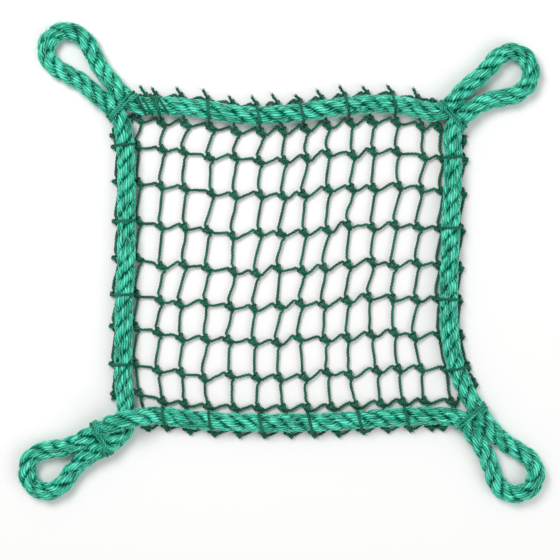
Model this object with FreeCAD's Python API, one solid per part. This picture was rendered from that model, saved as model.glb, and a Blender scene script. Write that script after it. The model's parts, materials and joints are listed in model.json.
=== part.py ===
"""Knotted twine netting panel hung on a laid rope border, with a rope eye at each corner.

The panel lies flat. X runs along the longer side, Y along the shorter side and Z is up. The
origin is under the middle of the whole object, on the surface that it lies on. Millimetres.
"""
import FreeCAD, Part
import math
import os

from FreeCAD import Vector

# Driving dimensions
ROPE_DIAMETER = 14.0
TWINE_DIAMETER = 2.5
COLUMNS = 16  # knots along X, the outermost ones outside the rope
ROWS = 11  # knots along Y, the outermost ones outside the rope
CLEARANCE = 0.15  # between the rope and a twine wrapped on it
HINGE_GAP = 0.3  # between an eye's round leg end and the end of the border rope

ROPE_RADIUS = ROPE_DIAMETER / 2
TWINE_RADIUS = TWINE_DIAMETER / 2
ROPE_Z = TWINE_DIAMETER + CLEARANCE + ROPE_RADIUS  # a twine passes between the rope and the ground
WRAP_OFFSET = ROPE_RADIUS + CLEARANCE + TWINE_RADIUS
OVER_OFFSET = WRAP_OFFSET + 0.5  # twines that cross over the rope lie a little looser
LAST_COLUMN = COLUMNS - 1
LAST_ROW = ROWS - 1

# The middle of the whole object, measured from the middle of the netting panel
MIDDLE_X = -5.3
MIDDLE_Y = 1.1

# Knots of the netting
KNOT_Z = 3.2
KNOT_LIFT = 0.8
KNOT_RADIUS = 2.8
KNOT_HALF_LENGTH = 1.5
KNOT_LEAN = math.radians(-55)  # knots lean down to the right
KNOT_SPLIT = 0.6  # how far the two twines of a knot stand from its middle
TWINE_BEND = 3.0

# Where the netting meets the rope, as distances from the rope's axis
EDGE_TOP = 13.3
EDGE_BOTTOM = 11.7
EDGE_SIDE = 8.9
OUTER_EDGE = 8.9
TOP_SHIFT = -4.0  # of a knot outside the rope, along it, from the knot inside
BOTTOM_SHIFT = 4.0
LOW_RUN = 4.5  # half of the straight run of a twine below the rope
CORNER_RUN_START = 4.0  # from a knot to where a twine lies on the ground below a corner
TOP_FLAT = 0.3

# Places of the netting along the rope, from the middle of the panel
TOP_X = (-124.5, -105.5, -85.8, -64.6, -43.8, -22.5, -4.2, 14.2, 32.8, 52.0, 70.0, 90.2, 111.0, 125.8)
BOTTOM_X = (-124.5, -105.0, -86.7, -66.7, -45.4, -25.0, -4.2, 15.8, 36.2, 56.2, 77.5, 95.8, 113.8, 135.9)
LEFT_Y = (120.8, 99.0, 68.3, 36.1, 5.0, -25.0, -52.5, -82.9, -107.5)
RIGHT_Y = (113.6, 88.3, 60.8, 29.6, -1.0, -29.0, -59.2, -87.9, -114.8)

# Corner eyes: the middle of each hinge, the way the eye points, and the run of the border rope
# that is parallel to the eye before the hinge
EYES = {
    "top_left": {"hinge": (-145.8, 139.2), "heading": 135.0, "neck": (18.0, 20.0)},
    "top_right": {"hinge": (144.2, 130.8), "heading": 42.0, "neck": (18.0, 18.0)},
    "bottom_right": {"hinge": (158.2, -135.2), "heading": -54.0, "neck": (15.0, 15.0)},
    "bottom_left": {"hinge": (-165.0, -150.8), "heading": 210.0, "neck": (16.0, 16.0)},
}
LEG_OFFSET = ROPE_RADIUS + CLEARANCE  # from the middle of the hinge to the middle of a leg
NECK_BEND = 16.0  # of the border rope where it turns into the neck

# Each eye's route from one leg round its tip to the other, along and across its heading
EYE_ROUTES = {
    "top_left": (
        (0.0, 7.15), (13.0, 8.9), (26.5, 9.0), (39.0, 13.0), (51.0, 17.0), (63.0, 16.0),
        (71.5, 7.0), (71.0, -6.5), (61.5, -16.0), (48.5, -17.5), (36.0, -13.5), (25.0, -9.6),
        (12.5, -8.4), (0.0, -7.15),
    ),
    "top_right": (
        (0.0, 7.15), (12.0, 9.6), (25.0, 8.0), (38.0, 8.4), (50.0, 11.0), (61.0, 8.0),
        (68.0, -2.0), (65.5, -15.0), (55.0, -24.0), (42.0, -24.0), (31.0, -18.0), (21.5, -11.6),
        (11.0, -8.2), (0.0, -7.15),
    ),
    "bottom_right": (
        (0.0, 7.15), (13.0, 7.5), (26.0, 10.6), (37.5, 16.0), (50.0, 20.0), (61.5, 16.5),
        (68.0, 6.0), (66.0, -7.0), (56.0, -15.5), (43.0, -15.0), (31.5, -10.4), (20.0, -7.6),
        (10.0, -7.3), (0.0, -7.15),
    ),
    "bottom_left": (
        (0.0, 7.15), (10.0, 7.3), (20.0, 9.6), (30.5, 15.0), (42.0, 18.5), (53.0, 15.0),
        (59.0, 4.5), (57.0, -8.0), (47.5, -16.5), (35.5, -16.0), (25.5, -11.0), (16.5, -8.0),
        (8.5, -7.3), (0.0, -7.15),
    ),
}
EYE_SETTLE = 26.0  # along the eye, where its rope has come down to the ground

# Middle points of the border rope's four sides, between the corner runs
TOP_ROUTE = (
    (-106.0, 131.8), (-80.0, 130.0), (-56.0, 126.2), (-34.0, 122.8), (-10.0, 123.8), (14.0, 126.2),
    (38.0, 130.0), (62.0, 132.6), (86.0, 133.0), (107.0, 129.4),
)
RIGHT_ROUTE = (
    (137.2, 92.0), (136.8, 68.0), (135.6, 44.0), (134.8, 20.0), (133.6, -6.0), (133.2, -32.0),
    (134.0, -58.0), (138.0, -82.0), (145.5, -101.0),
)
BOTTOM_ROUTE = (
    (118.0, -125.6), (94.0, -126.8), (68.0, -128.4), (42.0, -130.8), (18.0, -131.4), (-8.0, -132.0),
    (-34.0, -131.6), (-60.0, -131.0), (-82.0, -129.0), (-98.0, -126.4), (-110.0, -125.4),
)
LEFT_ROUTE = (
    (-136.0, -106.0), (-137.0, -84.0), (-136.5, -58.0), (-136.2, -32.0), (-134.8, -6.0), (-133.9, 20.0),
    (-134.5, 46.0), (-133.8, 72.0), (-134.6, 98.0),
)
# At the bottom left corner the bottom rope crosses over the left one
CROSSING_OVER = ((-127.0, -127.0, 21.6), (-142.0, -129.6, 22.4))
CROSSING_UNDER = ((-134.4, -124.0, 7.1), (-135.8, -141.2, 7.1))

# The netting's corner knots outside the rope: where they lie along it, X at the top and bottom
# and Y at the sides. They stand back from the seizings.
CORNER_PLACES = {
    (1, 0): -119.5,
    (14, 0): 117.5,
    (1, 10): -119.0,
    (14, 10): 127.0,
    (0, 1): 108.5,
    (0, 9): -107.5,
    (15, 1): 103.5,
    (15, 9): -102.5,
}

# Twine ends
TOP_TAIL = Vector(-3.1, 6.4, 1.7)  # at its mean length
TOP_TAIL_UNEVENNESS = 0.16
BOTTOM_TAIL = Vector(3.6, -4.8, -0.6)
LEFT_TAIL = Vector(-3.4, 1.0, -0.4)
RIGHT_TAIL = Vector(3.4, -1.6, -0.4)
GAP_TAILS = {
    (14, 0): Vector(3.6, 0.8, -0.4),
    (15, 1): Vector(3.2, 2.4, -0.4),
    (1, 10): Vector(-3.6, -1.0, -0.4),
    (0, 9): Vector(-1.6, -4.2, -0.4),
}

# Seizings: turns of twine round both rope legs behind each hinge
SEIZING_TURNS = 3
SEIZING_PITCH = 2.2
SEIZING_START = 8.7  # behind the hinge axis
SEIZING_SLACK = 0.2

STRAIGHT = math.radians(0.2)  # a turn under this is passed straight
ARC_SHARE = 0.45  # of the shorter run beside a bend
RUN_SHARE = 0.98  # the most that the two bends of a run may take of it
AXIS_SAMPLES = 4  # points per millimetre on which a place along a rope is looked up
TANGENT_STEP = 8  # samples apart that give a rope's direction


def unit(angle_degrees):
    angle = math.radians(angle_degrees)
    return Vector(math.cos(angle), math.sin(angle), 0)


def corner_turn(corners, index):
    before = corners[index - 1][0] - corners[index][0]
    after = corners[index + 1][0] - corners[index][0]
    return math.pi - before.getAngle(after)


def filleted(corners):
    """Straight runs joined by tangent arcs, through (point, radius) corners.

    A radius of None is as large as the two runs allow. Returns the edges and the radii.
    """
    ends = (0, len(corners) - 1)
    kept = [k for k in range(len(corners)) if k in ends or corner_turn(corners, k) > STRAIGHT]
    corners = [corners[k] for k in kept]
    last = len(corners) - 1
    runs = [(corners[k + 1][0] - corners[k][0]).Length for k in range(last)]
    reaches = [0.0] * (last + 1)
    for k in range(1, last):
        reaches[k] = ARC_SHARE * min(runs[k - 1], runs[k])
        if corners[k][1] is not None:
            reaches[k] = corners[k][1] * math.tan(corner_turn(corners, k) / 2)
    for k, run in enumerate(runs):
        crowding = (reaches[k] + reaches[k + 1]) / (RUN_SHARE * run)
        if crowding > 1:
            reaches[k] /= crowding
            reaches[k + 1] /= crowding
    edges = []
    radii = []
    start = corners[0][0]
    for k in range(1, last):
        point = corners[k][0]
        inward = (corners[k - 1][0] - point).normalize()
        outward = (corners[k + 1][0] - point).normalize()
        half_turn = corner_turn(corners, k) / 2
        radius = reaches[k] / math.tan(half_turn)
        centre_way = (inward + outward).normalize()
        arc_start = point + inward * reaches[k]
        arc_end = point + outward * reaches[k]
        middle = point + centre_way * (radius / math.cos(half_turn) - radius)
        edges.append(Part.LineSegment(start, arc_start).toShape())
        edges.append(Part.Arc(arc_start, middle, arc_end).toShape())
        radii.append(radius)
        start = arc_end
    edges.append(Part.LineSegment(start, corners[-1][0]).toShape())
    return edges, radii


def tube(edges, radius):
    """A round bar along joined edges."""
    path = Part.Wire(edges)
    first = path.OrderedEdges[0]
    begin = first.valueAt(first.FirstParameter)
    way = first.tangentAt(first.FirstParameter)
    section = Part.Wire(Part.makeCircle(radius, begin, way))
    solid = path.makePipeShell([section], True, False)
    if solid.Volume < 0:
        solid.reverse()
    return solid


def report_tube(name, solid, edges, radii, radius):
    length = sum(edge.Length for edge in edges)
    ideal = math.pi * radius * radius * length
    tightest = min(radii) if radii else 0.0
    widest = max(radii) if radii else 0.0
    print(f"{name}: length {length:.1f}, radii {tightest:.1f} to {widest:.1f}, "
          f"volume ratio {solid.Volume / ideal:.4f}")


# ---------------------------------------------------------------- border rope


def eye_place(name, along, across, height):
    """A point of an eye's own frame: along its heading, across it to the left, and up."""
    eye = EYES[name]
    way = unit(eye["heading"])
    side = unit(eye["heading"] + 90)
    hinge = Vector(eye["hinge"][0], eye["hinge"][1], 0)
    return hinge + way * along + side * across + Vector(0, 0, height)


def rope_end(name, leg):
    """The border rope's last two corners before an eye: the bend into its neck, and its end.

    Leg 0 is on the left of the eye's heading, and leg 1 on the right.
    """
    across = LEG_OFFSET if leg == 0 else -LEG_OFFSET
    bend = eye_place(name, -EYES[name]["neck"][leg], across, ROPE_Z)
    end = eye_place(name, -ROPE_RADIUS - HINGE_GAP, across, ROPE_Z)
    return [(bend, NECK_BEND), (end, None)]


def side_corners():
    """Corners of the border rope's four sides, each from one eye to the next."""
    def raised(route):
        return [(Vector(x, y, ROPE_Z), None) for x, y in route]

    over = [(Vector(*point), None) for point in CROSSING_OVER]
    under = [(Vector(*point), None) for point in CROSSING_UNDER]
    top = raised(TOP_ROUTE)
    right = raised(RIGHT_ROUTE)
    bottom = raised(BOTTOM_ROUTE) + over
    left = under[::-1] + raised(LEFT_ROUTE)
    return {
        "top": rope_end("top_left", 1)[::-1] + top + rope_end("top_right", 0),
        "right": rope_end("top_right", 1)[::-1] + right + rope_end("bottom_right", 0),
        "bottom": rope_end("bottom_right", 1)[::-1] + bottom + rope_end("bottom_left", 1),
        "left": rope_end("bottom_left", 0)[::-1] + left + rope_end("top_left", 0),
    }


def make_border_ropes(sides):
    ropes = {}
    for side, corners in sides.items():
        edges, radii = filleted(corners)
        solid = tube(edges, ROPE_RADIUS)
        report_tube(f"border_rope_{side}", solid, edges, radii, ROPE_RADIUS)
        ropes[side] = (solid, edges)
    return ropes


# ---------------------------------------------------------------- corner eyes


def eye_height(along):
    """The eye's rope comes down from the hinge to lie on the ground."""
    lying = ROPE_RADIUS + CLEARANCE
    return lying + (ROPE_Z - lying) * max(0.0, 1 - along / EYE_SETTLE)


def make_eye(name):
    points = [eye_place(name, along, across, eye_height(along)) for along, across in EYE_ROUTES[name]]
    edges, radii = filleted([(point, None) for point in points])
    solid = tube(edges, ROPE_RADIUS)
    report_tube(f"corner_eye_{name}", solid, edges, radii, ROPE_RADIUS)
    for point, following in ((points[0], points[1]), (points[-1], points[-2])):
        way = (following - point).normalize()
        ball_end = Part.makeSphere(ROPE_RADIUS, point, way * -1, 0, 90, 360)
        solid = solid.fuse(ball_end)
    return solid


# ---------------------------------------------------------------- netting


def axis_samples(edges):
    """Points close together along a rope's axis."""
    samples = []
    for edge in edges:
        count = max(2, int(edge.Length * AXIS_SAMPLES) + 1)
        samples.extend(edge.discretize(Number=count))
    return samples


def flat(point):
    return Vector(point.x, point.y, 0)


def at_x(samples, x):
    return min(samples, key=lambda sample: abs(sample.x - x))


def at_y(samples, y):
    return min(samples, key=lambda sample: abs(sample.y - y))


def edge_knots(axes):
    """The knots along the inner edge of the rope, for each side, corners included."""
    inner = COLUMNS - 2
    top = []
    bottom = []
    for k in range(inner):
        top.append(Vector(TOP_X[k], at_x(axes["top"], TOP_X[k]).y - EDGE_TOP, 0))
        bottom.append(Vector(BOTTOM_X[k], at_x(axes["bottom"], BOTTOM_X[k]).y + EDGE_BOTTOM, 0))
    left = [Vector(at_y(axes["left"], y).x + EDGE_SIDE, y, 0) for y in LEFT_Y]
    right = [Vector(at_y(axes["right"], y).x - EDGE_SIDE, y, 0) for y in RIGHT_Y]
    for row, top_knot, bottom_knot, x in (
        (left, 0, 0, TOP_X[0]),
        (right, -1, -1, TOP_X[-1]),
    ):
        row[0] = Vector(x, row[0].y, 0)
        top[top_knot] = row[0]
        row[-1] = Vector(BOTTOM_X[bottom_knot], row[-1].y, 0)
        bottom[bottom_knot] = row[-1]
    return top, bottom, left, right


def unevenness(i, j):
    """How far a hand-tied knot stands from its even place."""
    return Vector(
        0.9 * math.sin(2.3 * i + 1.7 * j) + 0.6 * math.sin(0.9 * i - 2.9 * j),
        1.3 * math.sin(1.9 * i - 1.1 * j) + 0.8 * math.sin(3.1 * i + 2.2 * j),
        0,
    )


def inner_knots(axes):
    """Every knot inside the rope, blended from the knots along the rope's four sides."""
    top, bottom, left, right = edge_knots(axes)
    last_i = LAST_COLUMN - 2
    last_j = LAST_ROW - 2
    knots = {}
    for i in range(last_i + 1):
        for j in range(last_j + 1):
            u = i / last_i
            v = j / last_j
            rows = top[i] * (1 - v) + bottom[i] * v
            columns = left[j] * (1 - u) + right[j] * u
            upper = top[0] * (1 - u) + top[-1] * u
            lower = bottom[0] * (1 - u) + bottom[-1] * u
            place = rows + columns - upper * (1 - v) - lower * v
            on_edge = i in (0, last_i) or j in (0, last_j)
            height = KNOT_Z
            if not on_edge:
                place = place + unevenness(i + 1, j + 1)
                height += KNOT_LIFT * (0.5 + 0.5 * math.sin(1.9 * i + 2.7 * j))
            knots[(i + 1, j + 1)] = Vector(place.x, place.y, height)
    return knots


def rope_crossings(axes):
    """Each pair of knots on the two sides of a rope, with that rope and their shift along it."""
    pairs = []
    for i in range(1, LAST_COLUMN):
        pairs.append((axes["top"], TOP_SHIFT, (i, 1), (i, 0)))
        pairs.append((axes["bottom"], BOTTOM_SHIFT, (i, LAST_ROW - 1), (i, LAST_ROW)))
    for j in range(1, LAST_ROW):
        pairs.append((axes["left"], 0.0, (1, j), (0, j)))
        pairs.append((axes["right"], 0.0, (LAST_COLUMN - 1, j), (LAST_COLUMN, j)))
    return pairs


def outer_knots(axes, knots):
    """The selvedge knots outside the rope. Returns where and which way each twine crosses it."""
    across = {}
    for samples, shift, inside, outside in rope_crossings(axes):
        knot = flat(knots[inside])
        along_x = outside[1] in (0, LAST_ROW)
        if along_x:
            beside = at_x(samples, CORNER_PLACES.get(outside, knot.x + shift))
        else:
            beside = at_y(samples, CORNER_PLACES.get(outside, knot.y + shift))
        following = samples[(samples.index(beside) + TANGENT_STEP) % len(samples)]
        tangent = flat(following - beside).normalize()
        outward = Vector(-tangent.y, tangent.x, 0)
        if outward.dot(flat(beside) - knot) < 0:
            outward = outward * -1
        place = flat(beside) + outward * OUTER_EDGE
        knots[outside] = place + Vector(0, 0, KNOT_Z)
        way = (place - knot).normalize()
        foot = min(samples, key=lambda sample: flat(sample).distanceToLine(knot, way))
        across[(inside, outside)] = (flat(foot), way)
    return across


def over_points(foot, way, distance, height):
    """The corner of a twine that rises from a knot to the top of the rope."""
    top = ROPE_Z + OVER_OFFSET
    rise = ROPE_Z - height
    span = math.hypot(distance, rise)
    slope = math.atan2(rise, distance) + math.asin(min(1.0, OVER_OFFSET / span))
    reach = distance - (top - height) / math.tan(slope) + TOP_FLAT
    return Vector(foot.x, foot.y, top) + way * reach


def crossing(foot, way, inside, outside, over):
    """Corners of a twine between an inner and an outer knot, over or under the rope."""
    back = way * -1
    inner_distance = (Vector(inside.x, inside.y, 0) - foot).dot(back)
    outer_distance = (Vector(outside.x, outside.y, 0) - foot).dot(way)
    if over:
        first = over_points(foot, back, inner_distance, inside.z)
        second = over_points(foot, way, outer_distance, outside.z)
        return [(first, OVER_OFFSET), (second, OVER_OFFSET)]
    low = Vector(foot.x, foot.y, TWINE_RADIUS)
    return [(low + back * LOW_RUN, None), (low + way * LOW_RUN, None)]


def knot_parts(knots, i, j):
    """Where the two twines of a knot bend: the bight, and the twine that wraps it."""
    lean = Vector(math.cos(KNOT_LEAN), math.sin(KNOT_LEAN), 0) * KNOT_SPLIT
    return knots[(i, j)] - lean, knots[(i, j)] + lean


def twine_stops(knots, number):
    """The knots that one twine visits, from the lower left to the upper right.

    At its bight a twine turns from the left to up, and at its wrap from below to the right.
    """
    stops = []
    for i in range(COLUMNS):
        for kind, j in (("bight", number + 1 - i), ("wrap", number - i)):
            if (i, j) in knots:
                stops.append((kind, i, j))
    return stops


def corner_low_run(first, second):
    """A twine that passes straight under both ropes of a corner."""
    way = (second - first).normalize()
    start = Vector(first.x, first.y, TWINE_RADIUS) + way * CORNER_RUN_START
    end = Vector(second.x, second.y, TWINE_RADIUS) - way * CORNER_RUN_START
    return [(start, None), (end, None)]


def tail_end(kind, i, j, point, leading):
    """Where the cut end of a twine lies, beyond its last knot."""
    if (i, j) in GAP_TAILS:
        tail = GAP_TAILS[(i, j)]
    elif leading and kind == "bight":
        tail = LEFT_TAIL
    elif leading:
        tail = BOTTOM_TAIL
    elif kind == "bight":
        tail = TOP_TAIL * (1 + TOP_TAIL_UNEVENNESS * math.sin(2.1 * i))
    else:
        tail = RIGHT_TAIL
    return point + tail


def twine_corners(knots, across, number):
    """Every corner of one twine, with the radius of its bend."""
    stops = twine_stops(knots, number)
    places = []
    for kind, i, j in stops:
        bight, wrap = knot_parts(knots, i, j)
        places.append(bight if kind == "bight" else wrap)
    kind, i, j = stops[0]
    corners = [(tail_end(kind, i, j, places[0], True), None), (places[0], TWINE_BEND)]
    for k in range(1, len(stops)):
        here = stops[k - 1][1:]
        there = stops[k][1:]
        if (here, there) in across:
            foot, way = across[(here, there)]
            over = is_over(here, there)
            corners += crossing(foot, way, places[k - 1], places[k], over)
        elif (there, here) in across:
            foot, way = across[(there, here)]
            over = is_over(there, here)
            corners += crossing(foot, way, places[k], places[k - 1], over)[::-1]
        elif abs(here[0] - there[0]) == 1 and abs(here[1] - there[1]) == 1:
            corners += corner_low_run(places[k - 1], places[k])
        corners.append((places[k], TWINE_BEND))
    kind, i, j = stops[-1]
    corners.append((tail_end(kind, i, j, places[-1], False), None))
    return corners


def is_over(inside, outside):
    """Twines cross the rope over and under in turn, and under it beside the corners."""
    index = inside[0] if inside[0] == outside[0] else inside[1]
    return index % 2 == 0 and outside not in CORNER_PLACES


def knot_lump(place):
    """The wraps of one knot as a short rounded bar."""
    lean = Vector(math.cos(KNOT_LEAN), math.sin(KNOT_LEAN), 0)
    half = KNOT_HALF_LENGTH
    radius = KNOT_RADIUS
    outline = Part.Wire(
        [
            Part.Arc(
                Vector(-half - radius, 0, 0),
                Vector(-half - radius * math.sqrt(0.5), radius * math.sqrt(0.5), 0),
                Vector(-half, radius, 0),
            ).toShape(),
            Part.LineSegment(Vector(-half, radius, 0), Vector(half, radius, 0)).toShape(),
            Part.Arc(
                Vector(half, radius, 0),
                Vector(half + radius * math.sqrt(0.5), radius * math.sqrt(0.5), 0),
                Vector(half + radius, 0, 0),
            ).toShape(),
            Part.LineSegment(Vector(half + radius, 0, 0), Vector(-half - radius, 0, 0)).toShape(),
        ]
    )
    lump = Part.Face(outline).revolve(Vector(0, 0, 0), Vector(1, 0, 0), 360)
    lump.Placement = FreeCAD.Placement(place, FreeCAD.Rotation(Vector(1, 0, 0), lean))
    return lump


def make_twine(knots, across, number):
    corners = twine_corners(knots, across, number)
    edges, radii = filleted(corners)
    solid = tube(edges, TWINE_RADIUS)
    report_tube(f"mesh_twine_{number + 1:02d}", solid, edges, radii, TWINE_RADIUS)
    stops = twine_stops(knots, number)
    lumps = [knot_lump(knots[(i, j)]) for kind, i, j in stops if kind == "wrap"]
    if lumps:
        solid = solid.fuse(lumps)
    return solid


# ---------------------------------------------------------------- seizings


def seizing_turn(first, second, way):
    """One closed turn of twine round two rope legs, in the plane across their way."""
    spread = (second - first).normalize()
    lift = spread.cross(way).normalize() * WRAP_OFFSET
    first = first - spread * SEIZING_SLACK
    second = second + spread * SEIZING_SLACK
    length = (second - first).Length
    turn = Part.makeCylinder(TWINE_RADIUS, length, first + lift, spread)
    under = Part.makeCylinder(TWINE_RADIUS, length, first - lift, spread)
    ends = []
    for centre, away in ((first, spread * -1), (second, spread)):
        start = centre + lift
        arc = Part.Arc(start, centre + away * WRAP_OFFSET, centre - lift).toShape()
        ends.append(tube([arc], TWINE_RADIUS))
    return turn.fuse([under] + ends)


def make_seizing(name, first_axis, second_axis):
    """Turns of twine side by side round both legs of a corner."""
    way = unit(EYES[name]["heading"])
    hinge = eye_place(name, 0, 0, ROPE_Z)
    near = 3 * ROPE_DIAMETER
    turns = []
    for k in range(SEIZING_TURNS):
        middle = hinge - way * (SEIZING_START + k * SEIZING_PITCH)
        legs = []
        for samples in (first_axis, second_axis):
            close = [sample for sample in samples if (sample - hinge).Length < near]
            legs.append(min(close, key=lambda sample: abs((sample - middle).dot(way))))
        turns.append(seizing_turn(legs[0], legs[1], way))
    return turns[0].fuse(turns[1:])


def main():
    os.makedirs("parts", exist_ok=True)
    sides = side_corners()
    ropes = make_border_ropes(sides)
    axes = {side: axis_samples(edges) for side, (_, edges) in ropes.items()}
    nodes = {f"border_rope_{side}": solid for side, (solid, _) in ropes.items()}
    for name in EYES:
        nodes[f"corner_eye_{name}"] = make_eye(name)
    corner_sides = {
        "top_left": ("top", "left"),
        "top_right": ("top", "right"),
        "bottom_right": ("bottom", "right"),
        "bottom_left": ("bottom", "left"),
    }
    for name, (first, second) in corner_sides.items():
        nodes[f"corner_seizing_{name}"] = make_seizing(name, axes[first], axes[second])
    knots = inner_knots(axes)
    across = outer_knots(axes, knots)
    for number in range(LAST_COLUMN + LAST_ROW):
        nodes[f"mesh_twine_{number + 1:02d}"] = make_twine(knots, across, number)
    for name, shape in nodes.items():
        shape.translate(Vector(-MIDDLE_X, -MIDDLE_Y, 0))
        solids = len(shape.Solids)
        print(f"{name}: {solids} solid(s), valid {shape.isValid()}, volume {shape.Volume:.0f}")
        shape.exportStep(f"parts/{name}.step")
    whole = Part.makeCompound(list(nodes.values())).BoundBox
    print(f"whole: x {whole.XMin:.2f} {whole.XMax:.2f}, y {whole.YMin:.2f} {whole.YMax:.2f}, "
          f"z {whole.ZMin:.3f} {whole.ZMax:.2f}")


main()
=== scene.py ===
"""Looks of a knotted twine netting panel on a laid rope border, with a rope eye at each corner.

Everything is in metres. The listed routes are measured from the middle of the netting panel,
and MIDDLE is the middle of the whole object there, which is where the frame has its origin.
"""
import json
import math

import bpy
import numpy as np
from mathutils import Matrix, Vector


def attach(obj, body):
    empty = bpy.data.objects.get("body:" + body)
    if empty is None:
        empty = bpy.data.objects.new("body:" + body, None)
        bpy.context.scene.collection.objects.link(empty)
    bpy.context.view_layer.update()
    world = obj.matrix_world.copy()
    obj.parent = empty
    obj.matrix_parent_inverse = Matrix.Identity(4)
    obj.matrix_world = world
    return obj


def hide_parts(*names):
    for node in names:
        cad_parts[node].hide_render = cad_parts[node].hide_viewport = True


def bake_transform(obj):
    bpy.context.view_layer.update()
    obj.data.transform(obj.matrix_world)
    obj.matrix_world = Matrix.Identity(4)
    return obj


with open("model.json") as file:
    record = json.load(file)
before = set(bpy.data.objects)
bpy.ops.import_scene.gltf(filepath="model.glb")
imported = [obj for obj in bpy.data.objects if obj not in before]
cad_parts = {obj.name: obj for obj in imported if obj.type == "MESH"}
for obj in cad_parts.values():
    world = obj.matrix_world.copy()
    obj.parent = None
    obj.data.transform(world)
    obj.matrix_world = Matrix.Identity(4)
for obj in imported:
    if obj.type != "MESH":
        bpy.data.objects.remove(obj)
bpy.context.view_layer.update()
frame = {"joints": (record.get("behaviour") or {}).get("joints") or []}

# Driving sizes
ROPE = 0.014  # diameter of the border rope
TWINE = 0.0025  # diameter of the netting's twine
COLUMNS = 16
ROWS = 11
LAST_COLUMN = COLUMNS - 1
LAST_ROW = ROWS - 1
MIDDLE = np.array((-0.0053, 0.0011, 0.0))
ROPE_Z = 0.00965  # height of the border rope's axis
UP = np.array((0.0, 0.0, 1.0))

# Border rope: middle points of its four sides
TOP_ROUTE = (
    (-0.106, 0.1318), (-0.08, 0.13), (-0.056, 0.1262), (-0.034, 0.1228), (-0.01, 0.1238),
    (0.014, 0.1262), (0.038, 0.13), (0.062, 0.1326), (0.086, 0.133), (0.107, 0.1294),
)
RIGHT_ROUTE = (
    (0.1372, 0.092), (0.1368, 0.068), (0.1356, 0.044), (0.1348, 0.02), (0.1336, -0.006),
    (0.1332, -0.032), (0.134, -0.058), (0.138, -0.082), (0.1455, -0.101),
)
BOTTOM_ROUTE = (
    (0.118, -0.1256), (0.094, -0.1268), (0.068, -0.1284), (0.042, -0.1308), (0.018, -0.1314),
    (-0.008, -0.132), (-0.034, -0.1316), (-0.06, -0.131), (-0.082, -0.129), (-0.098, -0.1264),
    (-0.11, -0.1254),
)
LEFT_ROUTE = (
    (-0.136, -0.106), (-0.137, -0.084), (-0.1365, -0.058), (-0.1362, -0.032), (-0.1348, -0.006),
    (-0.1339, 0.02), (-0.1345, 0.046), (-0.1338, 0.072), (-0.1346, 0.098),
)
# At the bottom left corner the bottom rope crosses over the left one
CROSSING_OVER = ((-0.127, -0.127, 0.0216), (-0.142, -0.1296, 0.0224))
CROSSING_UNDER = ((-0.1344, -0.124, 0.0071), (-0.1358, -0.1412, 0.0071))

# Corner eyes: the run of the border rope behind each hinge, for its left and right leg, and the
# eye's route from one leg round its tip to the other, along and across its heading
NECKS = {
    "top_left": (0.018, 0.020),
    "top_right": (0.018, 0.018),
    "bottom_right": (0.015, 0.015),
    "bottom_left": (0.016, 0.016),
}
EYE_ROUTES = {
    "top_left": (
        (0.0, 0.00715), (0.013, 0.0089), (0.0265, 0.009), (0.039, 0.013), (0.051, 0.017),
        (0.063, 0.016), (0.0715, 0.007), (0.071, -0.0065), (0.0615, -0.016), (0.0485, -0.0175),
        (0.036, -0.0135), (0.025, -0.0096), (0.0125, -0.0084), (0.0, -0.00715),
    ),
    "top_right": (
        (0.0, 0.00715), (0.012, 0.0096), (0.025, 0.008), (0.038, 0.0084), (0.05, 0.011),
        (0.061, 0.008), (0.068, -0.002), (0.0655, -0.015), (0.055, -0.024), (0.042, -0.024),
        (0.031, -0.018), (0.0215, -0.0116), (0.011, -0.0082), (0.0, -0.00715),
    ),
    "bottom_right": (
        (0.0, 0.00715), (0.013, 0.0075), (0.026, 0.0106), (0.0375, 0.016), (0.05, 0.02),
        (0.0615, 0.0165), (0.068, 0.006), (0.066, -0.007), (0.056, -0.0155), (0.043, -0.015),
        (0.0315, -0.0104), (0.02, -0.0076), (0.01, -0.0073), (0.0, -0.00715),
    ),
    "bottom_left": (
        (0.0, 0.00715), (0.01, 0.0073), (0.02, 0.0096), (0.0305, 0.015), (0.042, 0.0185),
        (0.053, 0.015), (0.059, 0.0045), (0.057, -0.008), (0.0475, -0.0165), (0.0355, -0.016),
        (0.0255, -0.011), (0.0165, -0.008), (0.0085, -0.0073), (0.0, -0.00715),
    ),
}
EYE_SETTLE = 0.026  # along an eye, where its rope has come down to the ground
EYE_LYING = ROPE / 2 + 0.00015  # height of its axis there
LEG_START = 0.0073  # behind the hinge, where the eye's own rope begins
LEG_OFFSET = 0.00715  # of a leg's axis from the middle between both legs

# Netting: places of its knots along the rope
TOP_X = (
    -0.1245, -0.1055, -0.0858, -0.0646, -0.0438, -0.0225, -0.0042,
    0.0142, 0.0328, 0.052, 0.07, 0.0902, 0.111, 0.1258,
)
BOTTOM_X = (
    -0.1245, -0.105, -0.0867, -0.0667, -0.0454, -0.025, -0.0042,
    0.0158, 0.0362, 0.0562, 0.0775, 0.0958, 0.1138, 0.1359,
)
LEFT_Y = (0.1208, 0.099, 0.0683, 0.0361, 0.005, -0.025, -0.0525, -0.0829, -0.1075)
RIGHT_Y = (0.1136, 0.0883, 0.0608, 0.0296, -0.001, -0.029, -0.0592, -0.0879, -0.1148)
EDGE_TOP = 0.0133  # from the rope's axis to the knots inside it
EDGE_BOTTOM = 0.0117
EDGE_SIDE = 0.0089
OUTER_EDGE = 0.0089  # from the rope's axis to the knots outside it
TOP_SHIFT = -0.004  # of a knot outside the rope, along it, from the knot inside
BOTTOM_SHIFT = 0.004
CORNER_PLACES = {
    (1, 0): -0.1195, (14, 0): 0.1175, (1, 10): -0.119, (14, 10): 0.127,
    (0, 1): 0.1085, (0, 9): -0.1075, (15, 1): 0.1035, (15, 9): -0.1025,
}
KNOT_Z = 0.0032  # height of a knot's middle
KNOT_LIFT = 0.0008  # the most that an inner knot stands higher by
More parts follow.
